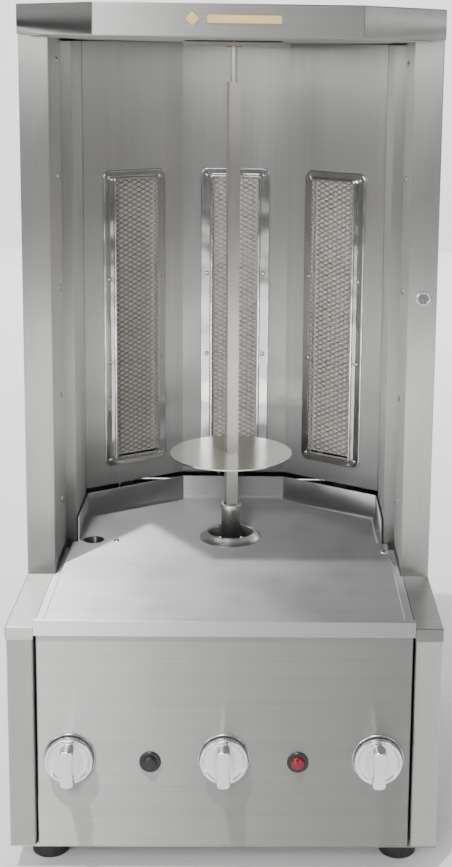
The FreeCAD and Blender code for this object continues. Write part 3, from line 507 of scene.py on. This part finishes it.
satin_chrome = cast_metal("satin_chrome", (0.80, 0.80, 0.80), (0.88, 0.88, 0.88), (0.13, 0.20),
                          depth=0.000004)
bezel_finish = cast_metal("silvered_bezel", (0.55, 0.55, 0.55), (0.66, 0.66, 0.66), (0.24, 0.34), 0.9)
KNOB_PLACES = {"left": -0.171, "centre": 0.0, "right": 0.171}
KNOB_HEIGHT = 0.1375
PANEL_FACE = -0.27
FORWARD = (math.radians(90), 0, 0)
SKIRT_PROFILE = [(0, 4.0), (25.4, 4.0), (26.3, 4.5), (26.5, 5.4), (26.5, 9.4), (26.2, 10.2), (25.5, 10.5),
                 (24.4, 10.5), (23.8, 10.1), (23.5, 9.0), (22.6, 8.6), (21.9, 9.1), (21.4, 10.0),
                 (20.6, 10.2), (16.0, 9.2), (9.0, 8.2), (0, 7.9)]
BEZEL_PROFILE = [(5.5, 0.1), (28.6, 0.1), (29.0, 0.5), (29.0, 1.4), (28.7, 2.1), (28.1, 2.5), (27.5, 2.4),
                 (27.1, 1.6), (26.9, 0.8), (26.5, 0.7), (5.5, 0.7), (5.5, 0.1)]
AXIS_RADIUS = 0.01
RING_JOIN = 0.00003


def turned(name, profile, place, tilt=(0, 0, 0), around=72):
    """A lathe-turned piece: each ring of (radius, height) in millimetres is drawn out of the last."""
    radius, height = profile[0]
    piece = start_from(bpy.ops.mesh.primitive_circle_add, name, vertices=around,
                       radius=max(radius, AXIS_RADIUS) / 1000)
    bpy.ops.transform.translate(value=(0, 0, height / 1000))
    for next_radius, next_height in profile[1:]:
        grown = max(next_radius, AXIS_RADIUS) / max(radius, AXIS_RADIUS)
        rise = (next_height - height) / 1000
        bpy.ops.mesh.extrude_region_move(TRANSFORM_OT_translate={"value": (0, 0, rise)})
        bpy.ops.transform.resize(value=(grown, grown, 1), center_override=(0, 0, next_height / 1000))
        radius, height = next_radius, next_height
    bpy.ops.mesh.select_all(action="SELECT")
    bpy.ops.mesh.remove_doubles(threshold=RING_JOIN)
    bpy.ops.mesh.normals_make_consistent(inside=False)
    piece.location = place
    piece.rotation_euler = tilt
    settled(piece)
    bpy.ops.object.shade_smooth_by_angle(angle=math.radians(40))
    return piece


GRIP_HEIGHT = 0.021
GRIP_FOOT = 0.007


def make_grip(name, place):
    """The waisted bar across the knob's face, with a rounded crest."""
    grip = start_from(bpy.ops.mesh.primitive_circle_add, name, vertices=64, radius=1)
    outline = bmesh.from_edit_mesh(grip.data)
    for corner in outline.verts:
        along, side = corner.co.y, corner.co.x
        width = 0.0070 + 0.0025 * along * along
        corner.co = (math.copysign(width * (1 - abs(along) ** 9) ** 0.4, side), 0.0228 * along, 0)
    bmesh.update_edit_mesh(grip.data)
    bpy.ops.mesh.extrude_region_move(TRANSFORM_OT_translate={"value": (0, 0, GRIP_HEIGHT)})
    bpy.ops.transform.resize(value=(0.90, 0.97, 1), center_override=(0, 0, GRIP_HEIGHT))
    for inset, rise in ((0.95, 0.0009), (0.86, 0.0007), (0.6, 0.0004)):
        bpy.ops.mesh.extrude_region_move(TRANSFORM_OT_translate={"value": (0, 0, rise)})
        bpy.ops.transform.resize(value=(inset, 0.985, 1), center_override=(0, 0, 0))
    bpy.ops.mesh.edge_face_add()
    bpy.ops.mesh.select_all(action="SELECT")
    bpy.ops.mesh.normals_make_consistent(inside=False)
    grip.location = place
    grip.rotation_euler = FORWARD
    settled(grip)
    bpy.ops.object.shade_smooth_by_angle(angle=math.radians(35))
    return grip


for side, across in KNOB_PLACES.items():
    bezel = turned(side + "_bezel", BEZEL_PROFILE, (across, PANEL_FACE, KNOB_HEIGHT), FORWARD, 96)
    bezel.data.materials.append(bezel_finish)
    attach(bezel, "housing")
    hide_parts("knob_bezels")
    knob = turned(side + "_knob_skirt", SKIRT_PROFILE, (across, PANEL_FACE, KNOB_HEIGHT), FORWARD, 96)
    grip = make_grip(side + "_knob_grip", (across, PANEL_FACE - GRIP_FOOT, KNOB_HEIGHT))
    for piece in (knob, grip):
        piece.data.materials.append(satin_chrome)
        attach(piece, side + "_knob")
        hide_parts(side + "_gas_knob")


# ---- tray collar and drive socket -----------------------------------------------------------
# A spun steel collar is pressed round the spit hole so that fat stays in the tray. The spit
# stands in a turned steel socket on the motor shaft.
SPIT_Y = -0.003
TRAY_FLOOR = 0.299
SOCKET_FOOT = 0.296
COLLAR_PROFILE = [(39.2, 0.1), (39.2, 0.9), (37.6, 1.7), (34.6, 4.6), (32.6, 7.6), (31.9, 8.6), (31.0, 9.0),
                  (30.1, 8.9), (29.4, 8.2), (29.0, 6.0), (28.4, -8.9), (29.0, -8.9), (29.9, 5.0),
                  (33.0, 1.2), (37.5, 0.1), (39.2, 0.1)]
SOCKET_PROFILE = [(9.4, 47.2), (9.4, 47.9), (11.2, 48.0), (12.4, 47.5), (12.9, 46.6), (12.9, 39.0),
                  (12.6, 38.6), (12.3, 38.2), (12.3, 1.0), (11.6, 0.1), (6.2, 0.1)]
collar = turned("spun_collar", COLLAR_PROFILE, (0, SPIT_Y, TRAY_FLOOR), around=128)
collar_steel = cast_metal("spun_collar_steel", (0.56, 0.55, 0.54), (0.66, 0.65, 0.64), (0.30, 0.38),
                          grain_scale=160.0, depth=0.000002)
collar.data.materials.append(collar_steel)
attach(collar, "housing")
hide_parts("tray_collar")
drive_socket = turned("turned_socket", SOCKET_PROFILE, (0, SPIT_Y, SOCKET_FOOT), around=96)
socket_steel = brushed_steel("turned_socket_steel", "Z", (0.56, 0.55, 0.54), (0.68, 0.67, 0.66),
                             (0.34, 0.42), 0.3)
drive_socket.data.materials.append(socket_steel)
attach(drive_socket, "drive")
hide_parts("drive_socket")


# ---- hood badge -----------------------------------------------------------------------------
# A plain gilt lozenge and a gilt bar are stuck on the front of the hood. Both are thin metal
# with rounded edges.
gilt = cast_metal("worn_gilt", (0.56, 0.42, 0.16), (0.62, 0.47, 0.20), (0.30, 0.38),
                  grain_scale=400.0, depth=0.000002)
HOOD_FACE = -0.273
BADGE_HEIGHT = 0.9445
BADGE_THICKNESS = 0.0008
BADGE_ROUNDING = 0.0003
lozenge = start_from(bpy.ops.mesh.primitive_cylinder_add, "gilt_lozenge", vertices=4, radius=0.0075,
                     depth=BADGE_THICKNESS)
bpy.ops.mesh.bevel(offset=BADGE_ROUNDING, segments=2)
lozenge.rotation_euler = FORWARD
lozenge.location = (-0.0365, HOOD_FACE - BADGE_THICKNESS / 2, BADGE_HEIGHT)
settled(lozenge)
gilt_bar = start_from(bpy.ops.mesh.primitive_cube_add, "gilt_bar", size=1)
bpy.ops.transform.resize(value=(0.076, BADGE_THICKNESS, 0.0085))
bpy.ops.mesh.bevel(offset=BADGE_ROUNDING, segments=2)
gilt_bar.location = (0.0165, HOOD_FACE - BADGE_THICKNESS / 2, BADGE_HEIGHT)
settled(gilt_bar)
for piece in (lozenge, gilt_bar):
    piece.data.materials.append(gilt)
    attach(piece, "housing")


# ---- push buttons ---------------------------------------------------------------------------
# Moulded plastic buttons stand in black rings in the front panel: the igniter's is black and the
# motor's is red. The cable gland and the ignition module are the same black plastic.
black_plastic = cast_metal("black_moulded_plastic", (0.009, 0.009, 0.009), (0.014, 0.014, 0.014),
                           (0.30, 0.42), 0.0)
finished_with(black_plastic, "button_housings", "ignition_button", "cable_gland", "ignition_module")
red_plastic = cast_metal("red_moulded_plastic", (0.14, 0.003, 0.010), (0.20, 0.006, 0.016),
                         (0.16, 0.26), 0.0)
finished_with(red_plastic, "motor_button")


# ---- feet -----------------------------------------------------------------------------------
# Four moulded black rubber feet stand under the corners of the base. Dust sits in the rubber.
rubber = cast_metal("dusty_black_rubber", (0.010, 0.010, 0.010), (0.03, 0.029, 0.027), (0.6, 0.8),
                    0.0, 180, 0.0003)
finished_with(rubber, "rubber_feet")


# ---- post plug ------------------------------------------------------------------------------
# A nickel ring with a grey plastic middle closes the hole in the right post. It is pressed in
# from the front.
PLUG_X = 0.224
PLUG_HEIGHT = 0.630
PLUG_MIDDLE = 0.0055


def make_plug_finish():
    """Grey inside the plug's middle, nickel outside it."""
    material, tree, shader = new_finish("plug_ring")
    x, _, z = split_place(tree)
    across = calculated(tree, "SUBTRACT", x, PLUG_X)
    up = calculated(tree, "SUBTRACT", z, PLUG_HEIGHT)
    reach = calculated(tree, "SQRT", calculated(tree, "ADD", calculated(tree, "MULTIPLY", across, across),
                                                calculated(tree, "MULTIPLY", up, up)))
    ring = spread(tree, reach, PLUG_MIDDLE, PLUG_MIDDLE + 0.0005, 0.0, 1.0)
    worn = noise(tree, own_place(tree), 300.0, 3.0)
    grey = blended(tree, worn, (0.10, 0.10, 0.10), (0.20, 0.20, 0.20))
    nickel = blended(tree, worn, (0.60, 0.59, 0.57), (0.72, 0.71, 0.69))
    joined(tree, blended(tree, ring, grey, nickel), shader.inputs["Base Color"])
    joined(tree, ring, shader.inputs["Metallic"])
    joined(tree, spread(tree, worn, 0.3, 0.7, 0.2, 0.34), shader.inputs["Roughness"])
    return material


finished_with(make_plug_finish(), "post_plug")


# ---- gas train and drive, inside ------------------------------------------------------------
# Brass jets, valves and fittings are turned, the manifold and pipes are drawn alloy, the burner
# boxes are cast iron, and the gear motor is painted grey.
brass = cast_metal("turned_brass", (0.52, 0.36, 0.14), (0.66, 0.48, 0.22), (0.22, 0.36))
finished_with(brass, "gas_jets", "gas_valve_bodies", "gas_inlet_fitting", "top_bush", "left_valve_plug",
              "centre_valve_plug", "right_valve_plug")
pipe_alloy = cast_metal("drawn_pipe_alloy", (0.16, 0.15, 0.14), (0.26, 0.25, 0.23), (0.5, 0.64))
finished_with(pipe_alloy, "gas_supply_pipes", "gas_manifold")
burner_casting = cast_metal("cast_iron", (0.05, 0.047, 0.045), (0.11, 0.10, 0.09), (0.55, 0.75),
                            0.6, 420, 0.0003)
finished_with(burner_casting, "left_burner_body", "centre_burner_body", "right_burner_body")
motor_paint = cast_metal("grey_motor_paint", (0.06, 0.065, 0.07), (0.10, 0.105, 0.11), (0.4, 0.55), 0.0)
finished_with(motor_paint, "gear_motor")
electrode_finish = cast_metal("electrode_steel", (0.55, 0.54, 0.52), (0.72, 0.71, 0.69), (0.3, 0.45))
finished_with(electrode_finish, "spark_electrodes")
